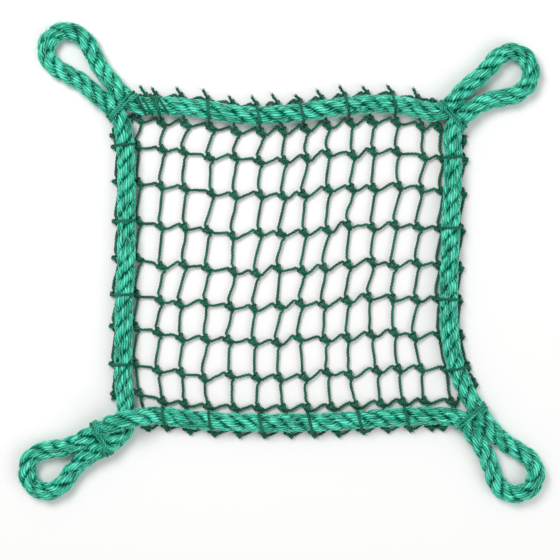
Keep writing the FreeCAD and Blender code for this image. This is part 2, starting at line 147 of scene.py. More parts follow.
UNEVEN_X = ((0.0009, 2.3, 1.7), (0.0006, 0.9, -2.9))  # waves: size, radians a column and a row
UNEVEN_Y = ((0.0013, 1.9, -1.1), (0.0008, 3.1, 2.2))
NEARBY = 3 * ROPE  # how far off the rope is looked for

# Twines between the knots
LYING_TWINE = TWINE * 0.52  # height of a twine's axis where it is led along the ground
LOWEST_TWINE = TWINE * 0.51  # and the least that it may be
BAR_PLACES = (0.33, 0.67)  # where a bar bends, as shares of it
BAR_SWAY = 0.00035  # to its sides, as the spread of a normal draw
BAR_SAG = 0.0007  # the most that it hangs down
GAP_PLACES = (0.2, 0.4, 0.6, 0.8)  # control points of a bar that cuts a corner of the panel
OVER_ANGLES = (162, 128, 90, 52, 18)  # degrees round the rope, for a twine that crosses over it
OVER_SINK = TWINE * 0.05  # of that twine into the strands' crests
UNDER_PLACES = (-0.42, -0.15, 0.15, 0.42)  # in rope diameters, for one that crosses under it

# Cut ends of the twines, as offsets from their knots
TOP_TAIL = np.array((-0.0031, 0.0064, 0.0017))
BOTTOM_TAIL = np.array((0.0027, -0.0036, -0.00045))
LEFT_TAIL = np.array((-0.00289, 0.00085, -0.00034))
RIGHT_TAIL = np.array((0.00289, -0.00136, -0.00034))
TOP_TAIL_UNEVENNESS = 0.16  # share of its length
FIRST_TAIL = (1.12, 0.75)  # where a twine's first tail begins and bends, as shares of its offset
LAST_TAIL = (0.7, 1.12)  # where its last one bends and ends
GAP_TAILS = {
    (14, 0): np.array((0.0036, 0.0008, -0.0004)),
    (15, 1): np.array((0.0032, 0.0024, -0.0004)),
    (1, 10): np.array((-0.0036, -0.001, -0.0004)),
    (0, 9): np.array((-0.0016, -0.0042, -0.0004)),
}

# Lay of the rope
ROPE_STRANDS = 3
STRAND_STEP = 0.0133  # along the rope, from one strand to the next
ROPE_LAY = ROPE_STRANDS * STRAND_STEP  # along the rope, for one turn of a strand
START_PHASE = 0.4  # radians, where the top rope begins
STRAND_ORBIT = 0.0037  # of a strand's middle round the rope's axis
STRAND_RADIUS = 0.0040
STRAND_REACH = STRAND_ORBIT + STRAND_RADIUS  # from the rope's axis to a strand's crest
STRAND_YARNS = 11
YARN_POINTS = 4  # of a strand's section to each yarn
YARN_DEPTH = 0.17  # of the grooves between yarns, as a share of the strand's radius
YARN_TURN = -0.9  # turns of the yarns for each turn of the strand
ROPE_RING = 0.001  # between sections along a rope
PATTERN_SHIFT = 0.9  # of the fibres' pattern, from one strand to the next

# How uneven the lay is, and the length along the rope that this comes and goes in
LAY_UNEVENNESS = 0.25  # radians that the lay wanders by
LAY_WAVE = 0.09
ORBIT_UNEVENNESS = 0.03  # share of a strand's orbit
ORBIT_WAVE = 0.07
STRAND_UNEVENNESS = 0.05  # share of a strand's radius
STRAND_WAVE = 0.04
YARN_UNEVENNESS = 0.075  # share of a strand's radius, for each yarn
YARN_WAVE = 0.03
TWINE_UNEVENNESS = 0.05  # share of a twine's radius
TWINE_WAVE = 0.02
TWINE_TONE_WAVE = 0.06
WAVE_SHARES = (0.6, 0.3, 0.2)  # of the three sine waves in every such wave

# Lay of the twine
TWINE_PLIES = 3
TWINE_PITCH = 0.0085
TWINE_RING = 0.0007  # between sections along a twine
PLY_RADIUS = 0.53  # as a share of the twine's
PLY_POINTS = 6  # of a twine's section to each ply
END_SWELL = 0.3  # share of its radius that a cut end opens by
END_SWELL_LENGTH = 0.0015  # that this comes in, towards the end

# Tones, from about 0 with painted shade deep in a groove to 1 and more with painted glints on the lightest
# fibres
ROPE_TONE = 0.72
GROOVE_SHADE = 0.5  # painted shade taken off in a groove between yarns
YARN_SHADE = 0.3  # put on a proud yarn
DEPTH_SHADE = 1.7  # painted shade taken off for the depth below the crests, in the gaps between strands, a share of the strands' reach
CREST_DEPTH = 0.93  # share of their reach where that begins
DEEPEST = 0.3  # depth that it ends at
PLY_GROOVE = 0.65  # share of a twine's radius that has tone 0: painted shade in the grooves between plies
PLY_SHADE = 1.6
TWINE_SHADE = 0.15
CAP_TONE = 0.5

# Loose fibres. A pair is a range to draw from, and a stray the spread of a normal draw.
HAIR_SECTIONS = 6
HAIR_SIDES = 4
HAIR_TAPER = 0.6
ROPE_HAIRS = 1000 / 0.3  # on each metre of rope
HAIR_RADIUS = 0.00018
HAIR_LENGTHS = (0.002, 0.005)
# painted glints: loose fibres take tones up to the ramp's painted highlight colour
HAIR_GLINT_TONES = (0.8, 1.8)
HAIR_ROOT = 0.94  # share of the strands' reach
HAIR_BELOW = 0.3  # radians below the rope's middle that they still grow at
HAIR_RISE = (0.1, 0.35)  # away from the rope, to 1 along it
HAIR_STRAY = 0.2
HAIR_CURL = (0.1, 0.4)  # back to the rope, as a share of its length
HAIR_CURL_STRAY = 0.1
END_FIBRES = 16
END_FIBRE_RADIUS = 0.00013
END_FIBRE_LENGTHS = (0.0012, 0.0028)
END_FIBRE_PLACES = (0.05, 0.36)  # twine diameters from the twine's axis
END_FIBRE_SPREAD = (0.05, 0.3)
END_FIBRE_START = 0.0006  # inside the twine
END_FIBRE_CURL_STRAY = 0.3
END_FIBRE_TONE = 0.75

# First seeds of the random draws
LAY_SEED = 100
LAY_SEED_STEP = 7
ROPE_HAIR_SEED = 500
KNOT_SEED = 1000
TWINE_SEED = 3000
BAR_SEED = 4000
SEIZING_SEED = 5000
TWINE_END_SEED = 6000
LASHING_SEED = 8000
LASHING_LAY_SEED = 8100

# Fibre material: what makes up the value that its colour ramp turns into a colour
TONE_SHARE = 0.75
TONE_SHIFT = -0.2
STREAK_SHARE = 0.7
PATCH_SHARE = 0.25
PATCH_SCALE = 90.0
PAINTED_SHADE_STOP = 0.25  # places of the ramp's colours: painted shade in grooves, the body's own colour, and painted highlight
BODY_STOP = 0.6
PAINTED_HIGHLIGHT_STOP = 1.0
FIBRE_GLOSS = 0.32
RELIEF_STRENGTH = 0.6

# Floor, light and camera
FLOOR_HALF = 6.0
FLOOR_COLOUR = (0.86, 0.855, 0.85, 1)
WORLD_STRENGTH = 0.5
LAMPS = (  # name, place, width and watts
    ("key", (-0.5, 0.55, 1.2), 0.7, 13.0),
    ("fill", (0.9, -0.5, 1.1), 1.2, 7.0),
)
VIEW_WIDTH = 7 / 15  # metres across the picture, at the netting
CAMERA_AIM = (-0.00137, -0.01443, 0.006)
LENS = 85.0  # millimetres, like the sensor
SENSOR = 36.0


# ---------------------------------------------------------------- lines


def norm(v):
    v = np.asarray(v, float)
    return v / np.linalg.norm(v, axis=-1, keepdims=True)


def nurbs_line(points):
    """The points of a smooth NURBS spline with these control points."""
    curve = bpy.data.curves.new("route", "CURVE")
    curve.dimensions = "3D"
    curve.resolution_u = 16
    spline = curve.splines.new("NURBS")
    spline.points.add(len(points) - 1)
    for place, point in zip(spline.points, points):
        place.co = (*point, 1.0)
    spline.order_u = 3
    spline.use_endpoint_u = True
    carrier = bpy.data.objects.new("route", curve)
    bpy.context.scene.collection.objects.link(carrier)
    graph = bpy.context.evaluated_depsgraph_get()
    mesh = bpy.data.meshes.new_from_object(carrier.evaluated_get(graph))
    line = np.array([v.co for v in mesh.vertices])
    bpy.data.objects.remove(carrier)
    bpy.data.curves.remove(curve)
    bpy.data.meshes.remove(mesh)
    return line


def along(line):
    """Distance of each point from the line's start."""
    steps = np.linalg.norm(np.diff(line, axis=0), axis=1)
    return np.concatenate(([0.0], np.cumsum(steps)))


def evenly(line, step):
    """Points a step apart on a line."""
    s = along(line)
    count = max(3, round(s[-1] / step) + 1)
    places = np.linspace(0, s[-1], count)
    return np.stack([np.interp(places, s, line[:, k]) for k in range(3)], axis=1)


def tangents(line):
    return norm(np.gradient(line, axis=0))


def carried_frames(line):
    """Two directions across a line, carried along it without twist."""
    way = tangents(line)
    first = np.cross(UP, way[0])
    if np.linalg.norm(first) < 0.1:
        first = np.array((1.0, 0.0, 0.0))
    side = np.zeros_like(line)
    for k, t in enumerate(way):
        first = first - t * (first @ t)
        first = first / np.linalg.norm(first)
        side[k] = first
    return side, np.cross(way, side)


def level_frames(line):
    """The level direction to the left of a line, and the one across both."""
    way = tangents(line)
    side = norm(np.cross(UP, way))
    return side, np.cross(way, side)


def rings_along(line, directions, first, second):
    """Sections across a line. Their points lie first and second along its two directions."""
    side, over = directions
    return line[:, None, :] + side[:, None, :] * first[:, :, None] + over[:, None, :] * second[:, :, None]


# ---------------------------------------------------------------- meshes


class Builder:
    """Collects tubes into one mesh, with a UV map along and round them and a tone for each."""

    def __init__(self):
        self.points = []
        self.faces = []
        self.uvs = []
        self.tones = []
        self.count = 0

    def tube(self, rings, run, tone):
        """rings is sections x points x 3, run the distance of each section along the tube.

        Nothing goes into the ground: a soft tube is flat where it rests on it.
        """
        rings = np.stack([rings[..., 0], rings[..., 1], np.maximum(rings[..., 2], 0.0)], axis=-1)
        sections, round_points = rings.shape[:2]
        index = np.arange(sections * round_points).reshape(sections, round_points) + self.count
        here = index[:-1]
        there = index[1:]
        quads = np.stack([here, np.roll(here, -1, 1), np.roll(there, -1, 1), there], axis=-1)
        self.faces.extend(quads.reshape(-1, 4).tolist())
        share = np.arange(round_points + 1) / round_points
        u = np.repeat(run[:, None], round_points + 1, 1)
        v = np.repeat(share[None, :], sections, 0)
        corners = [np.stack([x[:-1, :-1], x[:-1, 1:], x[1:, 1:], x[1:, :-1]], axis=-1) for x in (u, v)]
        self.uvs.append(np.stack(corners, axis=-1).reshape(-1, 2))
        self.points.append(rings.reshape(-1, 3))
        self.tones.append(np.broadcast_to(tone, (sections, round_points)).reshape(-1))
        self.count += sections * round_points
        self.cap(index[0][::-1], rings[0].mean(0), run[0])
        self.cap(index[-1], rings[-1].mean(0), run[-1])

    def cap(self, loop, middle, run):
        """Closes a tube's end with triangles to its middle."""
        centre = self.count
        self.points.append(middle[None, :])
        self.tones.append(np.array([CAP_TONE]))
        self.count += 1
        for a, b in zip(loop, np.roll(loop, -1)):
            self.faces.append([int(a), int(b), centre])
        self.uvs.append(np.tile((run, 0.5), (3 * len(loop), 1)))

    def build(self, name, material):
        mesh = bpy.data.meshes.new(name)
        mesh.from_pydata(np.concatenate(self.points).tolist(), [], self.faces)
        layer = mesh.uv_layers.new(name="lay")
        layer.data.foreach_set("uv", np.concatenate(self.uvs).astype(np.float32).ravel())
        tone = mesh.attributes.new("tone", "FLOAT", "POINT")
        tone.data.foreach_set("value", np.concatenate(self.tones).astype(np.float32))
        mesh.polygons.foreach_set("use_smooth", np.ones(len(mesh.polygons), bool))
        mesh.materials.append(material)
        mesh.update()
        piece = bpy.data.objects.new(name, mesh)
        bpy.context.scene.collection.objects.link(piece)
        return piece


def wavering(s, seed, length):
    """A smooth random value between about -1 and 1 along s."""
    draw = np.random.default_rng(seed)
    value = np.zeros_like(s)
    for k, share in enumerate(WAVE_SHARES):
        value += share * np.sin(2 * math.pi * s * (k + 1) / length + draw.uniform(0, 2 * math.pi))
    return value


def hair(builder, start, way, bend, length, radius, tone):
    """A loose fibre that curls from its start."""
    t = np.linspace(0, 1, HAIR_SECTIONS)[:, None]
    line = start + way * length * t + bend * length * t * t
    angle = 2 * math.pi * np.arange(HAIR_SIDES) / HAIR_SIDES
    thin = radius * (1 - HAIR_TAPER * t)
    rings = rings_along(line, carried_frames(line), np.cos(angle) * thin, np.sin(angle) * thin)
    builder.tube(rings, along(line), tone)


# ---------------------------------------------------------------- materials


def value_node(tree, kind, **inputs):
    """A new node with these values at its inputs."""
    node = tree.nodes.new(kind)
    for name, value in inputs.items():
        node.inputs[name.replace("_", " ")].default_value = value
    return node


def share_added(tree, value, share, added):
    """The output of a node that gives the share of a value, and a number or another output added."""
    node = tree.nodes.new("ShaderNodeMath")
    node.operation = "MULTIPLY_ADD"
    tree.links.new(value, node.inputs[0])
    node.inputs[1].default_value = share
    if isinstance(added, float):
        node.inputs[2].default_value = added
    else:
        tree.links.new(added, node.inputs[2])
    return node.outputs[0]


def fibre_material(name, groove, body, light, roughness, lines_round, lines_along, bump):
    """Glossy drawn fibres along a yarn: streaks of colour and fine relief along the lay. The ramp goes from
    groove, a painted shade colour, through the body colour to light, a painted highlight colour.
    """
    material = bpy.data.materials.new(name)
    material.use_nodes = True
    tree = material.node_tree
    tree.nodes.clear()
    link = tree.links.new
    output = tree.nodes.new("ShaderNodeOutputMaterial")
    shader = tree.nodes.new("ShaderNodeBsdfPrincipled")
    link(shader.outputs["BSDF"], output.inputs["Surface"])
    shader.inputs["Roughness"].default_value = roughness
    shader.inputs["Specular IOR Level"].default_value = FIBRE_GLOSS

    lay = tree.nodes.new("ShaderNodeUVMap")
    lay.uv_map = "lay"
    stretch = tree.nodes.new("ShaderNodeMapping")
    stretch.inputs["Scale"].default_value = (lines_along, lines_round, 1.0)
    link(lay.outputs["UV"], stretch.inputs["Vector"])
    fibres = value_node(tree, "ShaderNodeTexNoise", Scale=1.0, Detail=3.0, Roughness=0.6)
    link(stretch.outputs["Vector"], fibres.inputs["Vector"])

    place = tree.nodes.new("ShaderNodeTexCoord")
    patches = value_node(tree, "ShaderNodeTexNoise", Scale=PATCH_SCALE, Detail=2.0, Roughness=0.5)
    link(place.outputs["Object"], patches.inputs["Vector"])

    # tone: the fibres' own random tone, with painted shade in the grooves and painted glints on loose
    # fibres
    tone = tree.nodes.new("ShaderNodeAttribute")
    tone.attribute_name = "tone"
    toned = share_added(tree, tone.outputs["Fac"], TONE_SHARE, TONE_SHIFT)
    streaked = share_added(tree, fibres.outputs["Fac"], STREAK_SHARE, toned)
    patchy = share_added(tree, patches.outputs["Fac"], PATCH_SHARE, streaked)

    ramp = tree.nodes.new("ShaderNodeValToRGB")
    first, last = ramp.color_ramp.elements
    first.position = PAINTED_SHADE_STOP
    first.color = (*groove, 1)
    last.position = PAINTED_HIGHLIGHT_STOP
    last.color = (*light, 1)
    middle = ramp.color_ramp.elements.new(BODY_STOP)
    middle.color = (*body, 1)
    link(patchy, ramp.inputs["Fac"])
    link(ramp.outputs["Color"], shader.inputs["Base Color"])

    relief = value_node(tree, "ShaderNodeBump", Strength=RELIEF_STRENGTH, Distance=bump)
    link(fibres.outputs["Fac"], relief.inputs["Height"])
    link(relief.outputs["Normal"], shader.inputs["Normal"])
    return material


def floor_material():
    material = bpy.data.materials.new("pale_floor")
    material.use_nodes = True
    shader = material.node_tree.nodes["Principled BSDF"]
    shader.inputs["Base Color"].default_value = FLOOR_COLOUR
    shader.inputs["Roughness"].default_value = 0.9
    shader.inputs["Specular IOR Level"].default_value = 0.2
    return material


# In each fibre material, groove is a painted shade colour and light is a painted highlight colour
ROPE_GREEN = fibre_material(
    "border_rope_fibre", groove=(0.0, 0.075, 0.045), body=(0.001, 0.36, 0.215), light=(0.17, 0.92, 0.70),
    roughness=0.36, lines_round=90.0, lines_along=300.0, bump=0.0004,
)
TWINE_GREEN = fibre_material(
    "mesh_twine_fibre", groove=(0.0, 0.028, 0.015), body=(0.001, 0.13, 0.07), light=(0.012, 0.28, 0.17),
    roughness=0.42, lines_round=40.0, lines_along=420.0, bump=0.00012,
)
SEIZING_GREEN = fibre_material(
    "seizing_fibre", groove=(0.0, 0.07, 0.04), body=(0.004, 0.32, 0.20), light=(0.16, 0.82, 0.62),
    roughness=0.38, lines_round=30.0, lines_along=420.0, bump=0.0003,
)


# ---------------------------------------------------------------- border rope


def joint_of(name):
    return next(joint for joint in frame["joints"] if joint["name"] == f"{name}_eye_lift")


def eye_place(name, run, across, height):
    """A point of an eye's own frame: along its heading, across it to the left, and up."""
    joint = joint_of(name)
    hinge = np.array(joint["pos_m"]) * (1, 1, 0)
    axis = np.array(joint["axis"])
    way = norm(np.cross(UP, axis))
    side = np.cross(UP, way)
    return hinge + way * run + side * across + UP * height


def in_frame(x, y, z):
    return np.array((x, y, z)) - MIDDLE


def rope_end(name, leg):
    """The border rope's last points before an eye. Leg 0 is on the left of its heading."""
    across = LEG_OFFSET if leg == 0 else -LEG_OFFSET
    neck = NECKS[name][leg]
    return [eye_place(name, -neck, across, ROPE_Z), eye_place(name, -LEG_START, across, ROPE_Z)]


def side_route(side):
    """A side of the border rope, from one eye's leg to the next one's."""
    over = [in_frame(*point) for point in CROSSING_OVER]
    under = [in_frame(*point) for point in CROSSING_UNDER]
    start, route, end = {
        "top": (("top_left", 1), TOP_ROUTE, ("top_right", 0)),
        "right": (("top_right", 1), RIGHT_ROUTE, ("bottom_right", 0)),
        "bottom": (("bottom_right", 1), BOTTOM_ROUTE, ("bottom_left", 1)),
        "left": (("bottom_left", 0), LEFT_ROUTE, ("top_left", 0)),
    }[side]
    middle = [in_frame(x, y, ROPE_Z) for x, y in route]
    if side == "bottom":
        middle = middle + over
    if side == "left":
        middle = under[::-1] + middle
    return rope_end(*start)[::-1] + middle + rope_end(*end)


def eye_route(name):
    """An eye, from its left leg to its right one, with the ends of the neck."""
    drop = ROPE_Z - EYE_LYING
    points = [eye_place(name, -LEG_START, LEG_OFFSET, ROPE_Z)]
    for run, across in EYE_ROUTES[name]:
        height = EYE_LYING + drop * max(0.0, 1 - run / EYE_SETTLE)
        points.append(eye_place(name, run, across, height))
    points.append(eye_place(name, -LEG_START, -LEG_OFFSET, ROPE_Z))
    return points


def laid_rope(line, phase, seed):
    """Three strands of laid yarns along a line. Phase is the turn of the lay at its start."""
    builder = Builder()
    directions = level_frames(line)
    s = along(line)
    slack = LAY_UNEVENNESS * wavering(s, seed + 60, LAY_WAVE) * np.sin(math.pi * s / s[-1])
    turn = 2 * math.pi * s / ROPE_LAY + phase + slack
    points = STRAND_YARNS * YARN_POINTS
    m = np.arange(points)
    yarn = m // YARN_POINTS
    groove = np.abs(np.cos(math.pi * (m % YARN_POINTS) / YARN_POINTS))
    lay_angle = math.atan(2 * math.pi * STRAND_ORBIT / ROPE_LAY)
    widening = 1 / math.cos(lay_angle) - 1
    for strand in range(ROPE_STRANDS):
        centre_angle = turn + 2 * math.pi * strand / ROPE_STRANDS
        orbit = STRAND_ORBIT * (1 + ORBIT_UNEVENNESS * wavering(s, seed + strand, ORBIT_WAVE))
        yarn_angle = YARN_TURN * centre_angle[:, None] + 2 * math.pi * m[None, :] / points
        yarn_seed = seed * 31 + strand * 17
        heights = [wavering(s, yarn_seed + k, YARN_WAVE) for k in range(STRAND_YARNS)]
        proud = np.stack(heights, axis=1)[:, yarn]
        radius = STRAND_RADIUS * (1 - YARN_DEPTH * groove[None, :] ** 2 + YARN_UNEVENNESS * proud)
        radius = radius * (1 + STRAND_UNEVENNESS * wavering(s, seed + 90 + strand, STRAND_WAVE)[:, None])
        radial = np.cos(yarn_angle - centre_angle[:, None])
        tangential = np.sin(yarn_angle - centre_angle[:, None])
        stretched = radius * (1 + widening * tangential ** 2)
        a = orbit[:, None] * np.cos(centre_angle)[:, None] + stretched * (
            radial * np.cos(centre_angle)[:, None] - tangential * np.sin(centre_angle)[:, None]
        )
        b = orbit[:, None] * np.sin(centre_angle)[:, None] + stretched * (
            radial * np.sin(centre_angle)[:, None] + tangential * np.cos(centre_angle)[:, None]
        )
        # Painted shade: the tone falls in the grooves between yarns and with the depth below the strands'
        # crests, in the gaps between strands
        reach = (np.hypot(a, b) / STRAND_REACH).clip(0, 1)
        tone = ROPE_TONE - GROOVE_SHADE * groove[None, :] ** 2 + YARN_SHADE * proud
        tone = tone - DEPTH_SHADE * (CREST_DEPTH - reach).clip(0, DEEPEST)
        builder.tube(rings_along(line, directions, a, b), s + strand * PATTERN_SHIFT, tone)
    return builder


def rope_hairs(builder, line, count, draw):
    """Loose fibres that stand a little off the rope, with painted glints in their tone."""
    side, over = level_frames(line)
    way = tangents(line)
    for _ in range(count):
        k = draw.integers(4, len(line) - 4)
        angle = draw.uniform(-HAIR_BELOW, math.pi + HAIR_BELOW)
        out = side[k] * math.cos(angle) + over[k] * math.sin(angle)
        start = line[k] + out * STRAND_REACH * HAIR_ROOT
        forth = way[k] * draw.choice((-1, 1))
        heading = norm(forth + out * draw.uniform(*HAIR_RISE) + draw.normal(0, HAIR_STRAY, 3))
        bend = -out * draw.uniform(*HAIR_CURL) + draw.normal(0, HAIR_CURL_STRAY, 3)
        length = draw.uniform(*HAIR_LENGTHS)
        hair(builder, start, heading, bend, length, HAIR_RADIUS, draw.uniform(*HAIR_GLINT_TONES))


# The border's stretches in the order that it runs
BORDER = (
    ("side", "top"), ("eye", "top_right"), ("side", "right"), ("eye", "bottom_right"),
    ("side", "bottom"), ("eye", "bottom_left"), ("side", "left"), ("eye", "top_left"),
)


def border_line(kind, name):
    """The rope's axis along a side or an eye. Only the bottom left eye runs from its right leg."""
    line = nurbs_line(side_route(name) if kind == "side" else eye_route(name))
    if (kind, name) == ("eye", "bottom_left"):
        line = line[::-1]
    return evenly(line, ROPE_RING)


def finish_side(piece, name):
    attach(piece, "net_panel")
    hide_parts(f"border_rope_{name}")


def finish_eye(piece, name):
    """The rope of an eye, which bends at its hinge: its CAD part is hidden and its place is baked into its
    mesh, which gets no body.
    """
    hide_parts(f"corner_eye_{name}")
    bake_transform(piece)


def make_border():
    """The four sides and the four eyes.

    The lay goes on from each to the next. What it lacks of whole strands round the border is made
    up at the joins between them, a little at each.
    """
    lines = [border_line(kind, name) for kind, name in BORDER]
    total = sum(along(line)[-1] for line in lines)
    turn_rate = 2 * math.pi * round(total / STRAND_STEP) / ROPE_STRANDS / total
    phase = START_PHASE
    sides = {}
    for number, ((kind, name), line) in enumerate(zip(BORDER, lines)):
        length = along(line)[-1]
        builder = laid_rope(line, phase, LAY_SEED + number * LAY_SEED_STEP)
        phase += turn_rate * length
        rope_hairs(builder, line, int(ROPE_HAIRS * length), np.random.default_rng(ROPE_HAIR_SEED + number))
        if kind == "side":
            finish_side(builder.build(f"laid_rope_{name}", ROPE_GREEN), name)
            sides[name] = line
        else:
            finish_eye(builder.build(f"laid_rope_eye_{name}", ROPE_GREEN), name)
    return sides


# ---------------------------------------------------------------- netting: where it runs


def at(line, coordinate, value):
    """The point of a line whose x (0) or y (1) is nearest to the value."""
    return int(np.argmin(np.abs(line[:, coordinate] - value)))


def flat(point):
    return np.array((point[0], point[1], 0.0))


def edge_knots(sides):
    """The knots along the inner edge of the rope, corners included."""
    shift_x = MIDDLE[0]
    shift_y = MIDDLE[1]
    top = []
    bottom = []
    for x_top, x_bottom in zip(TOP_X, BOTTOM_X):
        high = sides["top"][at(sides["top"], 0, x_top - shift_x)]
        low = sides["bottom"][at(sides["bottom"], 0, x_bottom - shift_x)]
        top.append(np.array((x_top - shift_x, high[1] - EDGE_TOP, 0)))
        bottom.append(np.array((x_bottom - shift_x, low[1] + EDGE_BOTTOM, 0)))
    left = []
    right = []
    for y_left, y_right in zip(LEFT_Y, RIGHT_Y):
        near = sides["left"][at(sides["left"], 1, y_left - shift_y)]
        far = sides["right"][at(sides["right"], 1, y_right - shift_y)]
        left.append(np.array((near[0] + EDGE_SIDE, y_left - shift_y, 0)))
        right.append(np.array((far[0] - EDGE_SIDE, y_right - shift_y, 0)))
    for column, end in ((left, 0), (right, -1)):
        column[0][0] = TOP_X[end] - shift_x
        column[-1][0] = BOTTOM_X[end] - shift_x
        top[end] = column[0]
        bottom[end] = column[-1]
    return top, bottom, left, right


def unevenness(i, j):
    """How far a hand-tied knot stands from its even place."""
    x, y = (sum(size * math.sin(a * i + b * j) for size, a, b in waves) for waves in (UNEVEN_X, UNEVEN_Y))
    return np.array((x, y, 0))


def inner_knots(sides):
    """Every knot inside the rope, blended from the knots along the rope's four sides."""
    top, bottom, left, right = edge_knots(sides)
    last_i = LAST_COLUMN - 2
    last_j = LAST_ROW - 2
    knots = {}
    for i in range(last_i + 1):
        for j in range(last_j + 1):
            u = i / last_i
            v = j / last_j
            upper = top[0] * (1 - u) + top[-1] * u
            lower = bottom[0] * (1 - u) + bottom[-1] * u
            place = top[i] * (1 - v) + bottom[i] * v + left[j] * (1 - u) + right[j] * u
            place = place - upper * (1 - v) - lower * v
            height = KNOT_Z
            if i not in (0, last_i) and j not in (0, last_j):
                place = place + unevenness(i + 1, j + 1)
                height += KNOT_LIFT * (0.5 + 0.5 * math.sin(1.9 * i + 2.7 * j))
            knots[(i + 1, j + 1)] = place + UP * height
    return knots


def rope_crossings(sides):
    """The rope's line, the shift along it, and the knots inside and outside, for every crossing."""
    pairs = []
    for i in range(1, LAST_COLUMN):
        pairs.append((sides["top"], TOP_SHIFT, (i, 1), (i, 0)))
        pairs.append((sides["bottom"], BOTTOM_SHIFT, (i, LAST_ROW - 1), (i, LAST_ROW)))
    for j in range(1, LAST_ROW):
        pairs.append((sides["left"], 0.0, (1, j), (0, j)))
        pairs.append((sides["right"], 0.0, (LAST_COLUMN - 1, j), (LAST_COLUMN, j)))
    return pairs


def outer_knots(sides, knots):
    """The selvedge knots outside the rope. Returns where and which way each twine crosses it."""
    across = {}
    for line, shift, inside, outside in rope_crossings(sides):
        knot = flat(knots[inside])
        coordinate = 0 if outside[1] in (0, LAST_ROW) else 1
        value = knot[coordinate] + shift
        if outside in CORNER_PLACES:
            value = CORNER_PLACES[outside] - MIDDLE[coordinate]
        k = min(max(at(line, coordinate, value), 2), len(line) - 3)
        way = norm(flat(line[k + 2] - line[k - 2]))
        outward = np.array((-way[1], way[0], 0.0))
        if outward @ (flat(line[k]) - knot) < 0:
            outward = -outward
        place = flat(line[k]) + outward * OUTER_EDGE
        knots[outside] = place + UP * KNOT_Z
        way = norm(place - knot)
        offsets = np.abs((line[:, 0] - knot[0]) * way[1] - (line[:, 1] - knot[1]) * way[0])
        near = np.linalg.norm((line - knot) * (1, 1, 0), axis=1) < NEARBY
        k = int(np.argmin(np.where(near, offsets, 1.0)))
        across[(inside, outside)] = (line[k], way)
    return across


def twine_stops(knots, number):
    """The knots that one twine visits, from the lower left to the upper right."""
    stops = []
    for i in range(COLUMNS):
        for kind, j in (("bight", number + 1 - i), ("wrap", number - i)):
            if (i, j) in knots:
                stops.append((kind, i, j))
    return stops


def is_over(inside, outside):
    """Twines cross the rope over and under in turn, and under it beside the corners."""
    index = inside[0] if inside[0] == outside[0] else inside[1]
    return index % 2 == 0 and outside not in CORNER_PLACES


# ---------------------------------------------------------------- netting: knots and twines

# A sheet bend, in twine diameters: along its lean, across it, and up. The bight turns from the
# left leg to the upper one, and the other twine wraps it from the lower leg to the right one.
BIGHT = (
    (-1.15, -0.72, 0.1), (-0.3, -0.5, 0.0), (0.7, -0.5, 0.0), (1.5, -0.3, 0.1), (1.5, 0.35, 0.1),
    (0.7, 0.5, 0.0), (-0.3, 0.5, 0.0), (-1.2, 0.6, 0.1),
)
WRAP = (
    (1.75, -0.45, -0.3), (1.15, -0.2, -0.75), (0.65, 0.0, 0.2), (0.25, 0.3, 1.05), (-0.25, 0.85, 0.95),
    (-0.6, 1.15, 0.1), (-0.65, 0.75, -0.9), (-0.65, -0.75, -0.9), (-0.55, -1.15, 0.1),
    (-0.2, -0.8, 0.95), (0.35, -0.1, 0.6), (0.85, 0.55, 0.95), (1.2, 0.85, 0.5),
)
# Where the four legs leave a knot, in twine diameters, square to the panel
LEGS = {"left": (-2.0, 0.95), "up": (-0.5, 2.4), "down": (0.5, -2.45), "right": (2.1, -1.0)}
TOP_ROW_LEFT_LEG = (-1.6, 1.7)
KNOT_STRETCH = (1.3, 1.1, 0.9)  # of these shapes along their lean, across it, and up
KNOT_LEAN = math.radians(-55)
KNOT_LEAN_SPREAD = 0.14  # radians
KNOT_SIZES = (0.95, 1.06)
KNOT_TIGHTNESS = 0.92  # of the twine's thickness in a knot
KNOT_REACH = 0.0048  # from its middle, where the twine begins to swell to its full thickness
KNOT_EASING = 0.0015  # and over which it does


def knot_points(shape, centre, i, j):
    """The control points of one twine of a knot."""
    draw = np.random.default_rng(KNOT_SEED + i * 37 + j)
    lean = KNOT_LEAN + draw.normal(0, KNOT_LEAN_SPREAD)
    scale = TWINE * draw.uniform(*KNOT_SIZES)
    forth = np.array((math.cos(lean), math.sin(lean), 0.0))
    side = np.array((-math.sin(lean), math.cos(lean), 0.0))
    longer, wider, higher = KNOT_STRETCH
    return [centre + (forth * s * longer + side * t * wider + UP * z * higher) * scale for s, t, z in shape]


def leg(centre, which, row):
    """Where a leg leaves a knot of this row."""
    x, y = LEGS[which]
    if which == "left" and row == 1:
        x, y = TOP_ROW_LEFT_LEG
    return centre + np.array((x, y, 0.0)) * TWINE


def crossing_points(place, way, over):
    """Control points of a twine that crosses the rope from its inner to its outer side."""
    if over:
        reach = STRAND_REACH + TWINE / 2 - OVER_SINK
        angles = [math.radians(a) for a in OVER_ANGLES]
        return [place + way * math.cos(a) * reach + UP * math.sin(a) * reach for a in angles]
    ground = flat(place) + UP * LYING_TWINE
    return [ground + way * d * ROPE for d in UNDER_PLACES]


def bar_points(start, end, i, j):
    """A slack bar between two knots: a slight sway to one side and then to the other."""
    draw = np.random.default_rng(BAR_SEED + i * 53 + j * 7)
    span = end - start
    side = norm(np.cross(UP, span))
    sways = draw.normal(0, BAR_SWAY, 2)
    sag = draw.uniform(0.0, BAR_SAG)
    return [start + span * share + side * sway - UP * sag for share, sway in zip(BAR_PLACES, sways)]


def tail_of(kind, i, j, leading):
    """The offset of a twine's cut end from its first knot (leading) or its last one."""
    if (i, j) in GAP_TAILS:
        return GAP_TAILS[(i, j)]
    if leading:
        return LEFT_TAIL if kind == "bight" else BOTTOM_TAIL
    if kind == "bight":
        return TOP_TAIL * (1 + TOP_TAIL_UNEVENNESS * math.sin(2.1 * i))
    return RIGHT_TAIL


